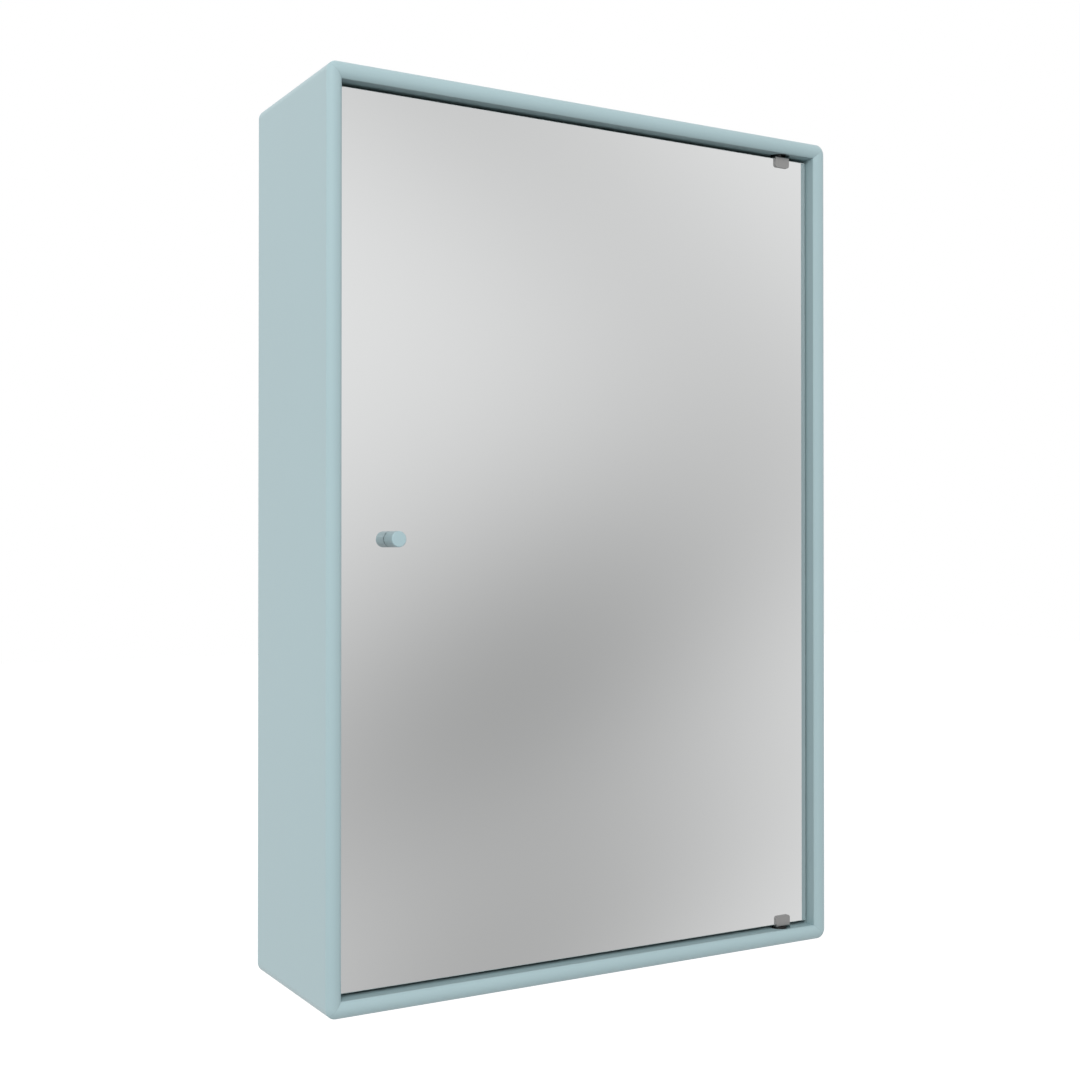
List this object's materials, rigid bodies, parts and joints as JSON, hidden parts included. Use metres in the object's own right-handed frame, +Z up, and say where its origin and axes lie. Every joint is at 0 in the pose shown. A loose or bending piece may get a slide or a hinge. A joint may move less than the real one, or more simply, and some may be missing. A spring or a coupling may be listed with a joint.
{
  "type": "mirror cabinet",
  "caption": "Wall-hung bathroom mirror cabinet with a shallow lacquered carcass, an inset frameless mirror door on pivot hinges, a round knob and glass shelves.",
  "frame": {"origin": "middle of the cabinet's lower rear edge, on the wall plane", "axes": "+Y into the wall, so the mirror faces -Y; +Z up; +X to the right as one looks at the mirror"},
  "size_m": [0.468, 0.151, 0.696],
  "materials": {
    "lacquered_mdf": "MDF with a satin pale blue-green lacquer",
    "spline_plywood": "birch plywood, glued",
    "mirror": "silvered float glass",
    "safety_film": "grey safety film",
    "hinge_metal": "satin nickel-plated zinc casting",
    "clip_liner": "grey soft rubber",
    "pin_steel": "turned steel",
    "nylon": "moulded black nylon",
    "knob_lacquer": "turned aluminium with the carcass's lacquer",
    "clear_silicone": "moulded clear silicone",
    "zinc_steel": "zinc-plated steel",
    "catch_plastic": "moulded pale grey plastic",
    "ferrite": "sintered ferrite magnet",
    "shelf_glass": "clear float glass with polished edges",
    "peg_steel": "nickel-plated steel"
  },
  "bodies": {
    "cabinet": {"left_side_panel": "lacquered_mdf", "right_side_panel": "lacquered_mdf", "top_panel": "lacquered_mdf", "bottom_panel": "lacquered_mdf", "corner_splines": "spline_plywood", "back_panel": "lacquered_mdf", "hinge_bushes": "nylon", "hinge_washer": "nylon", "catch_body": "catch_plastic", "catch_magnet": "ferrite", "catch_poles": "zinc_steel", "catch_screws": "zinc_steel", "shelf_pegs_lower": "peg_steel", "shelf_pegs_upper": "peg_steel", "hanger_left": "zinc_steel", "hanger_right": "zinc_steel", "hanger_screws": "zinc_steel"},
    "door": {"mirror_glass": "mirror", "safety_film": "safety_film", "hinge_clip_upper": "hinge_metal", "hinge_clip_lower": "hinge_metal", "clip_liner_upper": "clip_liner", "clip_liner_lower": "clip_liner", "pressure_plate_upper": "pin_steel", "pressure_plate_lower": "pin_steel", "clip_screws": "pin_steel", "hinge_pins": "pin_steel", "knob": "knob_lacquer", "knob_grommet": "clear_silicone", "knob_screw": "zinc_steel", "strike_plate": "zinc_steel"},
    "lower_shelf": {"shelf_lower": "shelf_glass"},
    "upper_shelf": {"shelf_upper": "shelf_glass"}
  },
  "joints": [
    {"name": "door_swing", "type": "hinge", "parent": "cabinet", "child": "door", "pos_m": [0.193, -0.1324, 0.348], "axis": [0, 0, 1], "range_deg": [0, 150]},
    {"name": "lower_shelf_lift", "type": "slide", "parent": "cabinet", "child": "lower_shelf", "axis": [0, 0, 1], "range_m": [0, 0.02]},
    {"name": "upper_shelf_lift", "type": "slide", "parent": "cabinet", "child": "upper_shelf", "axis": [0, 0, 1], "range_m": [0, 0.02]}
  ]
}
